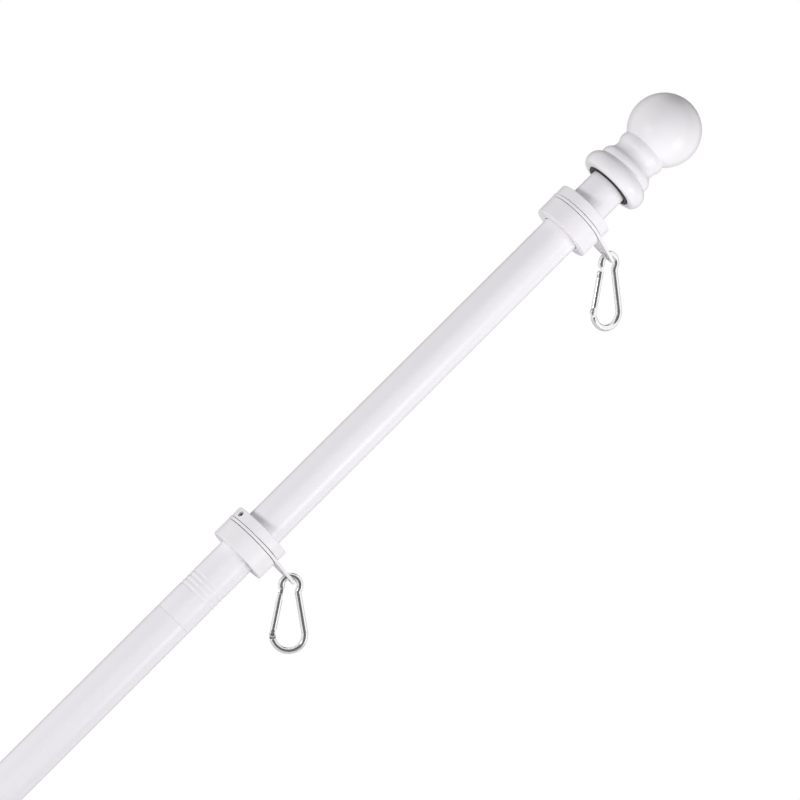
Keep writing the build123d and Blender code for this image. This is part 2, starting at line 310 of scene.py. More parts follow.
def tube_section(node, has_grooves):
    """A tube whose radius dips by a raised cosine at each rolled groove, with rounded ends."""
    start, end = span(node)
    middles = start + groove_start + groove_pitch * np.arange(groove_count if has_grooves else 0)
    heights = (middles[:, None] + groove_half * np.linspace(-1, 1, groove_steps)).ravel()
    offsets = np.clip((heights[:, None] - middles) / groove_half, -1, 1)
    radii = tube_radius - groove_depth * (1 + np.cos(pi * offsets)).sum(1) / 2
    shoulder = tube_radius - tube_edge
    profile = np.concatenate((
        quarter((shoulder, start + tube_edge), tube_edge, -pi / 2),
        np.stack((radii, heights), -1),
        quarter((shoulder, end - tube_edge), tube_edge, 0),
        ((tube_bore, end), (tube_bore, start)),
    ))
    return piece(f"{node}_tube", turned(profile, np.zeros(3), up_pole, under_pole, True))


def finial():
    """Four arcs of the neck and one of the ball, turned, over a ball cavity and three bores.

    The creases of the neck are softened: each point becomes the mean of the profile near it.
    """
    mouth = span("finial_ball")[0]
    heights = accumulate(neck_rises, initial=mouth)
    neck = [(tube_radius + wall, height) for wall, height in zip(neck_walls, heights)]
    ball_centre = neck[-1][1] + sqrt(ball_radius**2 - neck[-1][0] ** 2)
    foot_angle = atan2(neck[-1][1] - ball_centre, neck[-1][0])
    ball_angle = np.linspace(foot_angle, pi / 2, ball_steps)
    ball = np.stack((np.cos(ball_angle), np.sin(ball_angle)), -1) * ball_radius + (0, ball_centre)
    arcs = [
        arc_through(*neck[index : index + 3], neck_arc_steps)
        for index in range(0, len(neck_rises), 2)
    ]
    outside = np.concatenate(arcs + [ball[1:]])
    reach = np.concatenate(([0.0], np.cumsum(np.linalg.norm(np.diff(outside, axis=0), axis=1))))
    near = neck_softness * np.linspace(-1, 1, softening_steps)
    ball_start = reach[-len(ball)]
    rows = np.concatenate((
        np.linspace(neck_softness, ball_start + 2 * neck_softness, neck_profile_rows),
        np.linspace(ball_start + 3 * neck_softness, reach[-1] - 2 * neck_softness, ball_rows),
    ))
    window = rows[:, None] + near
    soft = np.stack([np.interp(window, reach, outside[:, axis]).mean(1) for axis in (0, 1)], -1)
    lip = np.array((mouth_radius + mouth_lip, mouth + mouth_lip))
    cavity_radius = ball_radius - ball_wall
    cavity_angle = np.linspace(pi / 2, -acos(stop_radius / cavity_radius), cavity_steps)
    cavity = np.stack((np.cos(cavity_angle), np.sin(cavity_angle)), -1) * cavity_radius
    cavity = cavity + (0, ball_centre)
    profile = np.concatenate((
        cavity,
        ((stop_radius, mouth + socket_depth), (socket_radius, mouth + socket_depth)),
        ((socket_radius, mouth + mouth_depth), (mouth_radius, mouth + mouth_depth)),
        quarter(lip, mouth_lip, pi),
        outside[:1] - ((neck_softness, 0),),
        soft,
        ((0, ball_centre + ball_radius),),
    ))
    body = turned(profile, np.zeros(3), up_pole, under_pole, False, finial_columns)
    return piece("finial_turned", body)


def plate_depth(points, tip):
    """How far each point lies inside the plate's edges: its drop outline, its bore and its ear hole.

    The outline is two circles and the straight lines that touch both.
    """
    x, y = points[..., 0], np.abs(points[..., 1])
    slope = (plate_radius - ear_end_radius) / tip
    rise = sqrt(1 - slope**2)
    along = x * rise - y * slope
    to_disc = plate_radius - np.hypot(x, y)
    to_tip = ear_end_radius - np.hypot(x - tip, y)
    to_line = plate_radius - (x * slope + y * rise)
    outline = np.where(along < 0, to_disc, np.where(along > tip * rise, to_tip, to_line))
    to_bore = np.hypot(x, y) - plate_bore
    to_hole = np.hypot(x - ear_hole_reach, y) - ear_hole_radius
    return np.minimum(np.minimum(outline, to_bore), to_hole)


def spinner_plate(level):
    """A drop-shaped plate in two fields, each a fan of straight rays from a hole to its border.

    The faces sink to the edges by a circular round: depth d gives edge - sqrt(edge^2 - (edge - d)^2).
    """
    low, high = span(f"{level}_spinner")
    half = (high - low) / 2
    middle = up_pole * (low + half)
    out = outward(ear_turns[level])
    across = np.cross(up_pole, out)
    tip = ear_hole_reach + ear_hole_radius + ear_rim - ear_end_radius
    slope = asin((plate_radius - ear_end_radius) / tip)
    neck_half = (plate_radius - ear_neck_reach * sin(slope)) / cos(slope)
    chord_y = np.linspace(neck_half, -neck_half, chord_steps)
    chord = np.stack((np.full(chord_steps, ear_neck_reach), chord_y), -1)
    touch = np.array((sin(slope), cos(slope)))
    mirror = np.array((1, -1))
    side = np.linspace(chord[0], touch * plate_radius, plate_side_steps)
    disc_angle = np.linspace(pi / 2 - slope, 1.5 * pi + slope, plate_disc_steps)
    disc = np.stack((np.cos(disc_angle), np.sin(disc_angle)), -1) * plate_radius
    ear_side = np.linspace(chord[0], touch * ear_end_radius + (tip, 0), ear_side_steps)
    end_angle = np.linspace(pi / 2 - slope, slope - pi / 2, ear_end_steps)
    end = np.stack((np.cos(end_angle), np.sin(end_angle)), -1) * ear_end_radius + (tip, 0)
    disc_edge = np.concatenate((side[:-1], disc, (side * mirror)[-2::-1]))
    ear_edge = np.concatenate((ear_side[:-1], end, (ear_side * mirror)[-2::-1]))
    inset = plate_edge * (1 - np.cos(np.linspace(0, pi / 2, plate_edge_steps)))

    def placed(flat, height):
        return middle + flat[..., :1] * out + flat[..., 1:] * across + height[..., None] * up_pole

    sheets = []
    fields = (
        (disc_edge, (0, 0), plate_bore),
        (ear_edge, (ear_hole_reach, 0), ear_hole_radius),
    )
    for edge, centre, radius in fields:
        border = np.concatenate((edge, chord[-2:0:-1]))
        reach = np.linalg.norm(border - centre, axis=1)
        ray = (border - centre) / reach[:, None]
        room = reach - radius
        rows = np.concatenate((
            np.broadcast_to(inset[:, None], (len(inset), len(room))),
            np.linspace(0, 1, plate_field_steps)[1:-1, None] * (room - 2 * plate_edge) + plate_edge,
            room - inset[::-1, None],
        ))
        flat = np.array(centre) + ray * (radius + rows)[..., None]
        depth = np.clip(plate_edge - plate_depth(flat, tip), 0, plate_edge)
        height = half - plate_edge + np.sqrt(plate_edge**2 - depth**2)
        sheets += [sheet(placed(flat, sign * height), False, True) for sign in (1, -1)]
        wall = np.stack((placed(flat[0], height[0]), placed(flat[0], -height[0])))
        rim, rim_height = flat[-1, : len(edge)], height[-1, : len(edge)]
        skirt = np.stack((placed(rim, rim_height), placed(rim, -rim_height)))
        sheets += [sheet(wall, False, True), sheet(skirt)]
    return piece(f"{level}_spinner_plate", *sheets)


def set_screw(level):
    """A grub screw: a hexagon socket, a chamfer, and a thread whose radius follows turn and height.

    The hexagon's radius at an angle is its half width over the cosine of the angle from the
    nearest flat.
    """
    low, high = span(f"{level}_lock_collar")
    axis = outward(screw_turns[level])
    top = ring_radius - screw_recess
    angle = np.linspace(0, 2 * pi, small_columns, endpoint=False)
    hexagon = screw_socket_half / np.cos((angle + pi / 6) % (pi / 3) - pi / 6)
    floor = top - screw_socket_depth
    heights = np.linspace(top - screw_chamfer, screw_foot + screw_chamfer, thread_rows)[:, None]
    wave = np.abs((heights / thread_pitch - angle / (2 * pi)) % 1 - 0.5) * 2
    from_end = np.minimum(top - heights, heights - screw_foot)
    fade = np.clip(from_end / thread_pitch - thread_run_out, 0, 1)
    thread = screw_radius - thread_depth * wave * fade
    plain = np.ones(small_columns)
    radii = np.concatenate((
        (plain * 0, hexagon, hexagon, plain * (screw_radius - screw_chamfer)),
        thread,
        (plain * (screw_radius - screw_chamfer), plain * 0),
    ))
    rows = np.concatenate(((floor, floor, top, top), heights[:, 0], (screw_foot, screw_foot)))
    ring = up_pole * np.cos(angle)[:, None] + np.cross(axis, up_pole) * np.sin(angle)[:, None]
    base = up_pole * (low + high) / 2
    points = base + rows[:, None, None] * axis + radii[..., None] * ring
    return piece(f"{level}_screw_threaded", sheet(points, False, True), sharp=screw_soft_angle)


def hook_frame(level):
    """The eye's centre, and the directions ahead, up and square to the flat of a hook."""
    swing = joints[f"{level}_hook_swing"]
    square = np.array(swing["axis"])
    return np.array(swing["pos_m"]), np.cross(upright, square), upright, square


# The hook drawn flat: its eye's centre at zero, its rivet where the gate's joint is
eye, ahead, up, square = hook_frame("lower")
rivet_from_eye = np.array(joints["lower_gate_open"]["pos_m"]) - eye
rivet_point = np.array((rivet_from_eye @ ahead, rivet_from_eye @ up))
bow_radius = -rivet_point[0]
bow_centre = np.array((0.0, rivet_point[1]))


def toward(angle):
    """The unit direction at an angle of the flat drawing."""
    return np.array((cos(angle), sin(angle)))


gate_reach = eye_radius + gate_offset
rivet_angle = atan2(rivet_point[1], rivet_point[0]) + 2 * pi
nose_angle = rivet_angle - acos(gate_reach / np.linalg.norm(rivet_point))
gate_way = toward(nose_angle) * gate_reach - rivet_point
gate_way = gate_way / np.linalg.norm(gate_way)
gate_inward = np.array((gate_way[1], -gate_way[0]))
eye_start = nose_angle + nose_turn
shoulder_from_rivet = toward(eye_start) * eye_radius - rivet_point
shoulder = shoulder_from_rivet @ gate_way
nose_neck = shoulder_from_rivet @ gate_inward
nose_inner = nose_neck + nose_neck_half
gate_top = shoulder - nose_reach
latch_height = gate_top - latch_drop
nose_top = latch_height + notch_radius + nose_head
nose_end = latch_height - notch_radius - nose_tip
neck_centre = toward(-neck_turn) * (eye_radius + neck_bend_radius)
neck_rise = neck_centre - bow_centre
neck_rise_angle = atan2(neck_rise[1], neck_rise[0])
back_lean = neck_rise_angle - acos((neck_bend_radius + bow_radius) / np.linalg.norm(neck_rise))
tongue_angle = (gate_radius + tongue_room) / bow_radius


def bend(centre, radius, start, turn, steps):
    """An arc of the flat drawing: centre + radius (cos, sin) from a start angle through a turn."""
    angle = start + turn * np.linspace(0, 1, steps)
    return centre + radius * np.stack((np.cos(angle), np.sin(angle)), -1)


def hook_path():
    """The wire's middle line, from its end over the eye and round the bow to the tongue's end.

    Returns its points at even steps, its distances along, and the distance where the round wire ends.
    """
    wire = np.concatenate((
        bend((0, 0), eye_radius, eye_start, -eye_start - neck_turn, wire_arc_steps),
        bend(
            neck_centre, neck_bend_radius, pi - neck_turn, neck_turn + back_lean, neck_bend_steps
        )[1:],
        bend(bow_centre, bow_radius, back_lean, tongue_angle - pi - back_lean, wire_arc_steps),
    ))
    tongue_way = rivet_point - wire[-1]
    tongue_way = tongue_way / np.linalg.norm(tongue_way)
    line = np.concatenate((wire, (rivet_point, rivet_point + tongue_way * wire_radius)))
    reach = np.concatenate(([0.0], np.cumsum(np.linalg.norm(np.diff(line, axis=0), axis=1))))
    even = np.linspace(0, reach[-1], path_steps)
    points = np.stack([np.interp(even, reach, line[:, axis]) for axis in (0, 1)], -1)
    return points, even, reach[len(wire) - 1]


def section_rows(along, low, high, half, power):
    """Rows of a table of sections: distance along, low and high reach, half thickness and power."""
    return np.stack(np.broadcast_arrays(along, low, high, half, power), -1).reshape(-1, 5)


def carried(level, table, centre, inward):
    """Sections carried along a line of a hook's flat drawing.

    A section reaches from low to high in the flat and to a half thickness across it, on a superellipse
    whose power is 2 where the metal is round and higher where it is flat.
    """
    low, high, half, power = (column[:, None] for column in table.T[1:])
    angle = np.linspace(0, 2 * pi, wire_columns, endpoint=False)
    width = np.sign(np.cos(angle)) * np.abs(np.cos(angle)) ** (2 / power)
    depth = np.sign(np.sin(angle)) * np.abs(np.sin(angle)) ** (2 / power)
    flat = centre[:, None] + inward[:, None] * ((low + high) / 2 + (high - low) / 2 * width)[..., None]
    eye, ahead, up, square = hook_frame(level)
    places = eye + flat[..., :1] * ahead + flat[..., 1:] * up + (half * depth)[..., None] * square
    return sheet(places, False, True)


def bent_wire(level):
    """The round wire over the eye, down the back and round the bow, and the flat tongue at its end."""
    points, even, wire_end = hook_path()
    length = even[-1]
    ease = np.linspace(0, pi / 2, arc_steps)
    start_inset = wire_radius - wire_edge * (1 - np.sin(ease))
    end_inset = wire_radius - wire_edge * (1 - np.cos(ease))
    tongue_inset = wire_radius * np.cos(ease)
    body = np.linspace(2 * wire_edge, wire_end - 2 * wire_edge, wire_rows)
    table = np.concatenate((
        section_rows(0, 0, 0, 0, 2),
        section_rows(wire_edge * (1 - np.cos(ease)), -start_inset, start_inset, start_inset, 2),
        section_rows(body, -wire_radius, wire_radius, wire_radius, 2),
        section_rows(wire_end - wire_edge * (1 - np.sin(ease)), -end_inset, end_inset, end_inset, 2),
        section_rows(
            np.linspace(wire_end, length - wire_radius, tongue_rows), -wire_radius, wire_radius,
            tongue_half, flat_power,
        ),
        section_rows(
            length - wire_radius * (1 - np.sin(ease)), -tongue_inset, tongue_inset,
            tongue_half, flat_power,
        ),
    ))
    along = table[:, 0]
    way = np.gradient(points, axis=0)
    heading = np.interp(along, even, np.unwrap(np.arctan2(way[:, 1], way[:, 0])))
    centre = np.stack([np.interp(along, even, points[:, axis]) for axis in (0, 1)], -1)
    return carried(level, table, centre, np.stack((np.sin(heading), -np.cos(heading)), -1))


def flat_nose(level):
    """The nose below the wire's end: a head with a round notch for the latch pin, and a narrow neck."""
    ease = np.linspace(0, pi / 2, arc_steps)
    half_turn = np.linspace(0, pi, notch_steps)
    tip_inset = nose_corner * (1 - np.sin(ease))
    top_inset = nose_corner * (1 - np.cos(ease))
    neck_low = nose_neck - nose_neck_half
    neck_rows = np.linspace(nose_top, shoulder + wire_radius, nose_neck_steps)
    table = np.concatenate((
        section_rows(nose_end, 0, 0, 0, flat_power),
        section_rows(
            nose_end + nose_corner * (1 - np.cos(ease)), tip_inset - nose_outer, nose_inner - tip_inset,
            nose_half, flat_power,
        ),
        section_rows(latch_height - notch_radius, -nose_outer, nose_inner, nose_half, flat_power),
        section_rows(
            latch_height - notch_radius * np.cos(half_turn), -nose_outer,
            -notch_radius * np.sin(half_turn), nose_half, flat_power,
        ),
        section_rows(latch_height + notch_radius, -nose_outer, nose_inner, nose_half, flat_power),
        section_rows(
            nose_top - nose_corner * (1 - np.sin(ease)), top_inset - nose_outer, nose_inner,
            nose_half, flat_power,
        ),
        section_rows(neck_rows, neck_low, nose_inner, nose_half, flat_power),
        section_rows(neck_rows[-1], nose_neck, nose_neck, 0, flat_power),
    ))
    centre = rivet_point + table[:, :1] * gate_way
    return carried(level, table, centre, np.broadcast_to(gate_inward, centre.shape))


def hook_wire(level):
    """The hook's body: the bent wire with its tongue, and the flat nose."""
    return piece(f"{level}_hook_wire", bent_wire(level), flat_nose(level))


def gate_frame(level):
    """The rivet's centre, and the directions into the hook, along the gate and square to the flat."""
    eye, ahead, up, square = hook_frame(level)
    inward = ahead * gate_inward[0] + up * gate_inward[1]
    along = ahead * gate_way[0] + up * gate_way[1]
    return np.array(joints[f"{level}_gate_open"]["pos_m"]), inward, along, square


def gate_rod(level):
    """A round rod with a slot at each end, so that each end has two cheeks.

    A cheek's outside is the part of the circle beyond the slot's wall, and its inside is that wall;
    the fork's cheeks end on a circle about the rivet, and the others on a rounded edge.
    """
    rivet, inward, along, square = gate_frame(level)
    nose_floor = nose_end - nose_root_gap
    share = np.linspace(0, 1, cheek_steps)
    ease = np.linspace(0, pi / 2, arc_steps)

    def placed(x, y, z):
        x, y, z = (np.asarray(part)[..., None] for part in np.broadcast_arrays(x, y, z))
        return rivet + x * inward + y * along + z * square

    def cheek_angle(radius, wall):
        start = np.arcsin(wall / radius)
        return start + (pi - 2 * start) * share

    def slot_floor(height, wall):
        z = wall * np.linspace(-1, 1, slot_steps)
        x = np.sqrt(gate_radius**2 - z**2)
        return sheet(placed(np.stack((x, -x)), height, z))

    def flanks(wall_low, wall_high):
        """The rod's two sides between the slots, in line with the slots' walls."""
        walls = np.array((wall_low, wall_high))[:, None] * np.linspace(-1, 1, slot_steps)
        x = np.sqrt(gate_radius**2 - walls**2)
        heights = np.array(((fork_root,), (nose_floor,)))
        return [sheet(placed(sign * x, heights, walls)) for sign in (1, -1)]

    sheets = [slot_floor(fork_root, fork_slot_half), slot_floor(nose_floor, nose_slot_half)]
    sheets += flanks(fork_slot_half, nose_slot_half)
    fork_angle = cheek_angle(gate_radius, fork_slot_half)
    nose_angles = cheek_angle(gate_radius, nose_slot_half)
    radii = np.concatenate((
        np.full(cheek_rows, gate_radius),
        gate_radius - gate_edge * (1 - np.cos(ease[1:])),
    ))[:, None]
    heights = np.concatenate((
        np.linspace(nose_floor, gate_top - gate_edge, cheek_rows),
        gate_top - gate_edge * (1 - np.sin(ease[1:])),
    ))[:, None]
    for sign in (1, -1):
        # Rod between the slots
        angles = np.stack((fork_angle, nose_angles))
        sheets.append(sheet(placed(
            gate_radius * np.cos(angles),
            np.array(((fork_root,), (nose_floor,))),
            sign * gate_radius * np.sin(angles),
        )))
        # Fork cheek, flattened for the rivet's head
        x = gate_radius * np.cos(fork_angle)
        z = gate_radius * np.sin(fork_angle)
        flat = np.minimum(z, fork_half)
        foot = -np.sqrt(gate_radius**2 - x**2)
        y = fork_root + np.linspace(0, 1, fork_rows)[:, None] * (foot - fork_root)
        sheets += [
            sheet(placed(x, y, sign * flat)),
            sheet(placed(x, y, sign * fork_slot_half)),
            sheet(placed(x, fork_root, sign * np.stack((flat, z)))),
            sheet(placed(x, foot, sign * np.stack((flat, np.full_like(flat, fork_slot_half))))),
        ]
        # Cheek beside the nose
        angles = cheek_angle(radii, nose_slot_half)
        x = radii * np.cos(angles)
        z = radii * np.sin(angles)
        cheek_end = np.stack((z[-1], np.full_like(z[-1], nose_slot_half)))
        sheets += [
            sheet(placed(x, heights, sign * z)),
            sheet(placed(x, heights, sign * nose_slot_half)),
            sheet(placed(x[-1], gate_top, sign * cheek_end)),
        ]
    made = piece(f"{level}_gate_rod", *sheets, sharp=gate_soft_angle)
    soften = made.modifiers.new("soft_edges", "BEVEL")
    soften.width = gate_bevel
    soften.segments = gate_bevel_segments
    soften.limit_method = "ANGLE"
    soften.angle_limit = gate_bevel_angle
    soften.harden_normals = True
    return made


def domed_rivet(level):
    """A shank with a low domed head at each end, turned about the rivet's axis."""
    rivet, inward, along, square = gate_frame(level)
    ease = np.linspace(pi / 2, 0, rivet_dome_steps)
    dome = np.stack((
        rivet_head_radius * np.cos(ease),
        fork_half + rivet_head_height * (rivet_rim_share + (1 - rivet_rim_share) * np.sin(ease)),
    ), -1)
    seat = ((rivet_head_radius, fork_half), (rivet_radius, fork_half))
    half = np.concatenate((dome, seat))
    profile = np.concatenate((half, half[::-1] * (1, -1)))
    return piece(f"{level}_rivet_domed", turned(profile, rivet, square, inward, False, small_columns))


def latch_rod(level):
    """The cross pin at the nose, with lightly domed ends, turned about its axis."""
    rivet, inward, along, square = gate_frame(level)
    ease = np.linspace(pi / 2, 0, latch_dome_steps)
    half = np.stack((latch_radius * np.cos(ease), latch_half + latch_dome * (np.sin(ease) - 1)), -1)
    profile = np.concatenate((half, half[::-1] * (1, -1)))
    centre = rivet + along * latch_height
    return piece(f"{level}_latch_rod", turned(profile, centre, square, inward, False, pin_columns))


# Shared finishes
finish_outputs = (
    ("Colour", "NodeSocketColor"),
    ("Roughness", "NodeSocketFloat"),
    ("Normal", "NodeSocketVector"),
)
streak_range = (0.35, 0.75)


def new_group(name, inputs, outputs):
    """An empty shader group with named sockets: pairs of a name and a socket kind."""
    group = bpy.data.node_groups.new(name, "ShaderNodeTree")
    for label, kind in inputs:
        group.interface.new_socket(label, in_out="INPUT", socket_type=kind)
    for label, kind in outputs:
        group.interface.new_socket(label, in_out="OUTPUT", socket_type=kind)
    return group, group.nodes.new("NodeGroupInput"), group.nodes.new("NodeGroupOutput")


def skin_group():
    """Gloss skin: slow mottling of colour and gloss, and a fine relief of rounded bumps."""
    group, given, put = new_group(
        "gloss_skin",
        (
            ("Vector", "NodeSocketVector"),
            ("Colour", "NodeSocketColor"),
            ("Shade", "NodeSocketColor"),
            ("Roughness", "NodeSocketFloat"),
            ("Spread", "NodeSocketFloat"),
            ("Mottle Scale", "NodeSocketFloat"),
            ("Grain Scale", "NodeSocketFloat"),
            ("Relief", "NodeSocketFloat"),
        ),
        finish_outputs,
    )
    nodes, link = group.nodes, group.links.new
    mottle = nodes.new("ShaderNodeTexNoise")
    mottle.inputs["Detail"].default_value = 3
    link(given.outputs["Vector"], mottle.inputs["Vector"])
    link(given.outputs["Mottle Scale"], mottle.inputs["Scale"])
    tint = nodes.new("ShaderNodeMix")
    tint.data_type = "RGBA"
    link(mottle.outputs["Fac"], tint.inputs["Factor"])
    link(given.outputs["Colour"], tint.inputs["A"])
    link(given.outputs["Shade"], tint.inputs["B"])
    link(tint.outputs["Result"], put.inputs["Colour"])
    grain = nodes.new("ShaderNodeTexNoise")
    grain.inputs["Detail"].default_value = 2
    link(given.outputs["Vector"], grain.inputs["Vector"])
    link(given.outputs["Grain Scale"], grain.inputs["Scale"])
    gloss = nodes.new("ShaderNodeMath")
    gloss.operation = "MULTIPLY_ADD"
    link(mottle.outputs["Fac"], gloss.inputs[0])
    link(given.outputs["Spread"], gloss.inputs[1])
    link(given.outputs["Roughness"], gloss.inputs[2])
    link(gloss.outputs[0], put.inputs["Roughness"])
    relief = nodes.new("ShaderNodeBump")
    link(grain.outputs["Fac"], relief.inputs["Height"])
    link(given.outputs["Relief"], relief.inputs["Distance"])
    link(relief.outputs["Normal"], put.inputs["Normal"])
    return group


def streak_group():
    """Drawn metal: long fine streaks and scattered dull patches, as a tint, a gloss and a relief."""
    group, given, put = new_group(
        "drawn_metal",
        (
            ("Vector", "NodeSocketVector"),
            ("Colour", "NodeSocketColor"),
            ("Shade", "NodeSocketColor"),
            ("Roughness", "NodeSocketFloat"),
            ("Spread", "NodeSocketFloat"),
            ("Relief", "NodeSocketFloat"),
        ),
        finish_outputs,
    )
    nodes, link = group.nodes, group.links.new
    streaks = nodes.new("ShaderNodeTexNoise")
    streaks.inputs["Scale"].default_value = 1
    streaks.inputs["Detail"].default_value = 4
    link(given.outputs["Vector"], streaks.inputs["Vector"])
    sharpen = nodes.new("ShaderNodeMapRange")
    sharpen.inputs["From Min"].default_value = streak_range[0]
    sharpen.inputs["From Max"].default_value = streak_range[1]
    link(streaks.outputs["Fac"], sharpen.inputs["Value"])
    tint = nodes.new("ShaderNodeMix")
    tint.data_type = "RGBA"
    link(sharpen.outputs["Result"], tint.inputs["Factor"])
    link(given.outputs["Colour"], tint.inputs["A"])
    link(given.outputs["Shade"], tint.inputs["B"])
    link(tint.outputs["Result"], put.inputs["Colour"])
    gloss = nodes.new("ShaderNodeMath")
    gloss.operation = "MULTIPLY_ADD"
    link(sharpen.outputs["Result"], gloss.inputs[0])
    link(given.outputs["Spread"], gloss.inputs[1])
    link(given.outputs["Roughness"], gloss.inputs[2])
    link(gloss.outputs[0], put.inputs["Roughness"])
    relief = nodes.new("ShaderNodeBump")
    link(streaks.outputs["Fac"], relief.inputs["Height"])
    link(given.outputs["Relief"], relief.inputs["Distance"])
    link(relief.outputs["Normal"], put.inputs["Normal"])
    return group


gloss_skin = skin_group()
drawn_metal = streak_group()


def finish(name, group, coordinate, scale, values, metallic=0.0):
    """A material whose colour, gloss and relief come from a shared group with its own values."""
    material = bpy.data.materials.new(name)
    material.use_nodes = True
    nodes, link = material.node_tree.nodes, material.node_tree.links.new
    shader = nodes["Principled BSDF"]
    shader.inputs["Metallic"].default_value = metallic
    place = nodes.new("ShaderNodeTexCoord")
    mapping = nodes.new("ShaderNodeMapping")
    mapping.inputs["Scale"].default_value = scale
    link(place.outputs[coordinate], mapping.inputs["Vector"])
    effect = nodes.new("ShaderNodeGroup")
    effect.node_tree = group
    link(mapping.outputs["Vector"], effect.inputs["Vector"])
    for label, value in values.items():
        effect.inputs[label].default_value = value
    link(effect.outputs["Colour"], shader.inputs["Base Color"])
    link(effect.outputs["Roughness"], shader.inputs["Roughness"])
    link(effect.outputs["Normal"], shader.inputs["Normal"])
    return material


plain_scale = (1, 1, 1)
powder_coat = finish("powder_coat", gloss_skin, "Object", plain_scale, {
    "Colour": (0.87, 0.847, 0.884, 1), "Shade": (0.85, 0.827, 0.864, 1),
    "Roughness": 0.23, "Spread": 0.06,
    "Mottle Scale": 60, "Grain Scale": 800, "Relief": 1.0e-5,
})
moulded_white = finish("moulded_white", gloss_skin, "Object", plain_scale, {
    "Colour": (0.86, 0.838, 0.870, 1), "Shade": (0.84, 0.818, 0.850, 1),
    "Roughness": 0.28, "Spread": 0.06,
    "Mottle Scale": 45, "Grain Scale": 500, "Relief": 8.0e-6,
})
satin_white = finish("satin_white", gloss_skin, "Object", plain_scale, {
    "Colour": (0.88, 0.857, 0.890, 1), "Shade": (0.86, 0.838, 0.870, 1),
    "Roughness": 0.34, "Spread": 0.10,
    "Mottle Scale": 80, "Grain Scale": 1600, "Relief": 8.0e-6,
})
black_rubber = finish("black_rubber", gloss_skin, "Object", plain_scale, {
    "Colour": (0.006, 0.006, 0.007, 1), "Shade": (0.018, 0.018, 0.020, 1),
    "Roughness": 0.40, "Spread": 0.2,
    "Mottle Scale": 220, "Grain Scale": 2600, "Relief": 2.5e-5,
})
bright_plate = finish("bright_plate", drawn_metal, "UV", (18, 60, 1), {
    "Colour": (0.95, 0.945, 0.955, 1), "Shade": (0.88, 0.875, 0.885, 1),
    "Roughness": 0.17, "Spread": 0.05,
    "Relief": 1.0e-6,
}, 1.0)
plain_steel = finish("plain_steel", drawn_metal, "Object", (400, 400, 2400), {
    "Colour": (0.46, 0.46, 0.47, 1), "Shade": (0.30, 0.30, 0.31, 1), "Roughness": 0.28, "Spread": 0.2,
    "Relief": 4.0e-6,
}, 1.0)

# Pieces
for node in ("bottom_section", "lower_middle_section", "upper_middle_section", "top_section"):
    stand_for(tube_section(node, node != "bottom_section"), node, powder_coat)
stand_for(finial(), "finial_ball", moulded_white)
for level in levels:
    stand_for(spinner_plate(level), f"{level}_spinner", satin_white)
    stand_for(set_screw(level), f"{level}_set_screw", plain_steel)
    stand_for(hook_wire(level), f"{level}_hook_body", bright_plate)
    stand_for(gate_rod(level), f"{level}_hook_gate", bright_plate)
    stand_for(domed_rivet(level), f"{level}_gate_rivet", bright_plate)
    stand_for(latch_rod(level), f"{level}_latch_pin", bright_plate)
kept_finishes = {
    "end_cap": satin_white,
    "finial_liner": black_rubber,
    "lower_joint_insert": plain_steel,
    "middle_joint_insert": plain_steel,
    "upper_joint_insert": plain_steel,
    "lower_ring_collar": satin_white,
    "lower_lock_collar": satin_white,
    "upper_ring_collar": satin_white,
    "upper_lock_collar": satin_white,
}
for node, material in kept_finishes.items():
    frame["nodes"][node].material_slots[0].material = material

# Camera: place, direction and lens of the photograph
camera_place = (0.12904, -2.34169, 1.26778)
camera_azimuth = -19.263
camera_elevation = 7.457
camera_roll = 2.728
camera_lens = 183.28
camera = bpy.data.objects.new("camera", bpy.data.cameras.new("camera"))
bpy.context.scene.collection.objects.link(camera)
bpy.context.scene.camera = camera
camera.data.lens = camera_lens
camera.matrix_world = (
    Matrix.Translation(camera_place)
    @ Matrix.Rotation(radians(camera_azimuth), 4, "Z")
    @ Matrix.Rotation(radians(90 - camera_elevation), 4, "X")
    @ Matrix.Rotation(radians(camera_roll), 4, "Z")
)
camera_turn = camera.matrix_world.to_3x3()

# Soft light, with directions right, up and towards the camera from the middle of the view
view_middle = Vector((0.95, 0.0, 0.95))


def softbox(name, direction, distance, width, power, mirrored=True):
    """A square soft light that faces the middle of the view."""
    lamp = bpy.data.lights.new(name, "AREA")
    lamp.size = width
    lamp.energy = power
    box = bpy.data.objects.new(name, lamp)
    away = camera_turn @ Vector(direction).normalized()
    box.location = view_middle + away * distance
    box.rotation_euler = away.to_track_quat("Z", "Y").to_euler()
    box.visible_glossy = mirrored
    box.visible_camera = False
    bpy.context.scene.collection.objects.link(box)


# The key and the fill light without being mirrored, and their glows make the highlights
key_way = (0.72, -0.54, 0.44)
fill_way = (-0.75, 0.11, 0.64)
softbox("key", key_way, 1.0, 0.6, 3.8, False)
softbox("key_glow", key_way, 1.0, 0.28, 1.25)
softbox("side", (0.92, -0.16, 0.30), 0.7, 0.25, 0.8, False)
softbox("fill", fill_way, 3.0, 0.8, 40, False)
softbox("fill_glow", fill_way, 1.6, 0.36, 2.4)
softbox("back", (-0.3, 0.1, -0.95), 2.5, 1.0, 14, False)

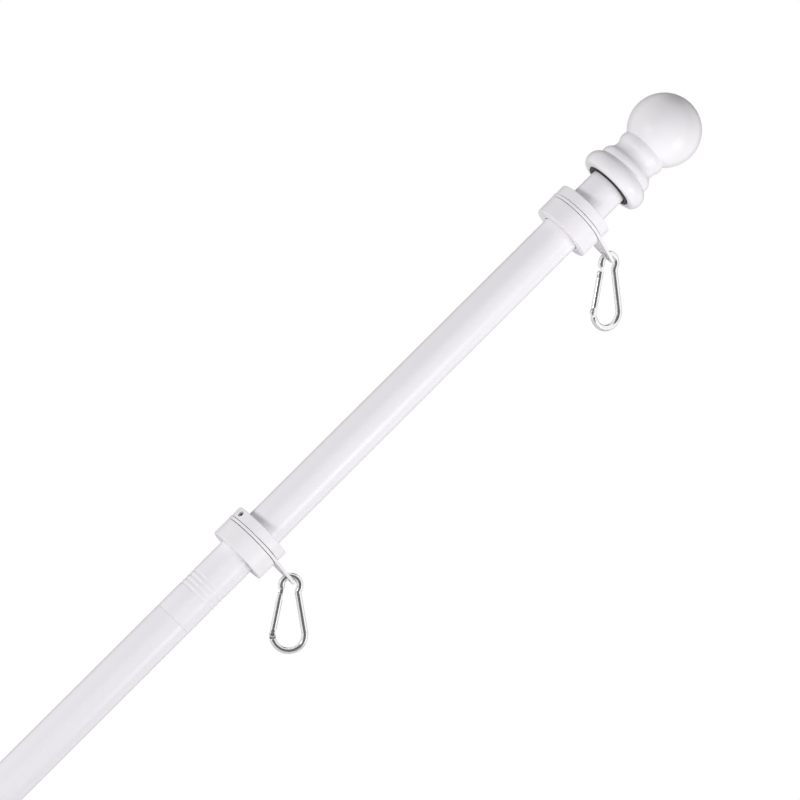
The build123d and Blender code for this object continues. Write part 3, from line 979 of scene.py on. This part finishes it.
# World: white where it is seen or mirrored, and dimmer as light
ambient = 0.39
world = bpy.data.worlds.new("studio")
bpy.context.scene.world = world
world.use_nodes = True
world_nodes, world_link = world.node_tree.nodes, world.node_tree.links.new
background = world_nodes["Background"]
background.inputs["Color"].default_value = (1, 1, 1, 1)
light_path = world_nodes.new("ShaderNodeLightPath")
seen = world_nodes.new("ShaderNodeMath")
seen.operation = "MAXIMUM"
seen_through = world_nodes.new("ShaderNodeMath")
seen_through.operation = "MAXIMUM"
world_link(light_path.outputs["Is Camera Ray"], seen.inputs[0])
world_link(light_path.outputs["Is Glossy Ray"], seen.inputs[1])
world_link(seen.outputs[0], seen_through.inputs[0])
world_link(light_path.outputs["Is Transmission Ray"], seen_through.inputs[1])
strength = world_nodes.new("ShaderNodeMapRange")
strength.inputs["To Min"].default_value = ambient
strength.inputs["To Max"].default_value = 1.0
world_link(seen_through.outputs[0], strength.inputs["Value"])
world_link(strength.outputs["Result"], background.inputs["Strength"])
bpy.context.scene.view_settings.view_transform = "Standard"


# A direction along none of the cards' normals, from which their sides are worked out
card_helper = (0.3, 0.5, 0.8)


def stage_card(name, centre, normal, inner, outer):
    """A flat disc that faces a direction: rings of points from an inner radius to an outer one."""
    normal = np.array(normal) / np.linalg.norm(normal)
    side = np.cross(normal, card_helper)
    side = side / np.linalg.norm(side)
    profile = np.stack((np.linspace(inner, outer, card_rows), np.zeros(card_rows)), -1)
    card = piece(name, turned(profile, np.array(centre), normal, side, False, card_columns))
    return card


# Pale floor that fades out into the white
floor_radius = 2.2
floor_middle = 0.55
floor_grey = 0.86
floor_roughness = 0.6
fade_start = 0.8
fade_end_share = 0.95
floor = stage_card("floor", (floor_middle, 0.0, cad_low[2]), (0, 0, 1), 0, floor_radius)
floor_paint = bpy.data.materials.new("floor_paint")
floor_paint.use_nodes = True
nodes, link = floor_paint.node_tree.nodes, floor_paint.node_tree.links.new
shader = nodes["Principled BSDF"]
shader.inputs["Base Color"].default_value = (floor_grey, floor_grey, floor_grey, 1)
shader.inputs["Roughness"].default_value = floor_roughness
place = nodes.new("ShaderNodeTexCoord")
centred = nodes.new("ShaderNodeMapping")
centred.inputs["Location"].default_value = (-floor_middle, 0, -cad_low[2])
link(place.outputs["Object"], centred.inputs["Vector"])
distance = nodes.new("ShaderNodeVectorMath")
distance.operation = "LENGTH"
link(centred.outputs["Vector"], distance.inputs[0])
fade = nodes.new("ShaderNodeMapRange")
fade.interpolation_type = "SMOOTHSTEP"
fade.inputs["From Min"].default_value = fade_start
fade.inputs["From Max"].default_value = fade_end_share * floor_radius
fade.inputs["To Min"].default_value = 1
fade.inputs["To Max"].default_value = 0
link(distance.outputs["Value"], fade.inputs["Value"])
link(fade.outputs["Result"], shader.inputs["Alpha"])
floor.data.materials.append(floor_paint)


def mirrored_card(name, direction, distance, inner, outer, grey):
    """A grey card that only mirrored rays meet, so that it shades edges and bright metal."""
    away = camera_turn @ Vector(direction).normalized()
    card = stage_card(name, view_middle + away * distance, away, inner, outer)
    paint = bpy.data.materials.new(f"{name}_paint")
    paint.use_nodes = True
    paint_shader = paint.node_tree.nodes["Principled BSDF"]
    paint_shader.inputs["Base Color"].default_value = (grey, grey, grey, 1)
    paint_shader.inputs["Roughness"].default_value = 1.0
    paint_shader.inputs["Specular IOR Level"].default_value = 0.0
    card.data.materials.append(paint)
    card.visible_camera = False
    card.visible_diffuse = False
    card.visible_transmission = False
    card.visible_shadow = False


mirrored_card("camera_card", (0.0, 0.0, 1.0), 2.0, 0.0, 2.5, 0.28)
mirrored_card("back_card", (0.0, 0.0, -1.0), 2.0, 0.55, 2.4, 0.42)
mirrored_card("top_card", (0.32, 0.88, -0.35), 2.0, 0.0, 0.6, 0.05)
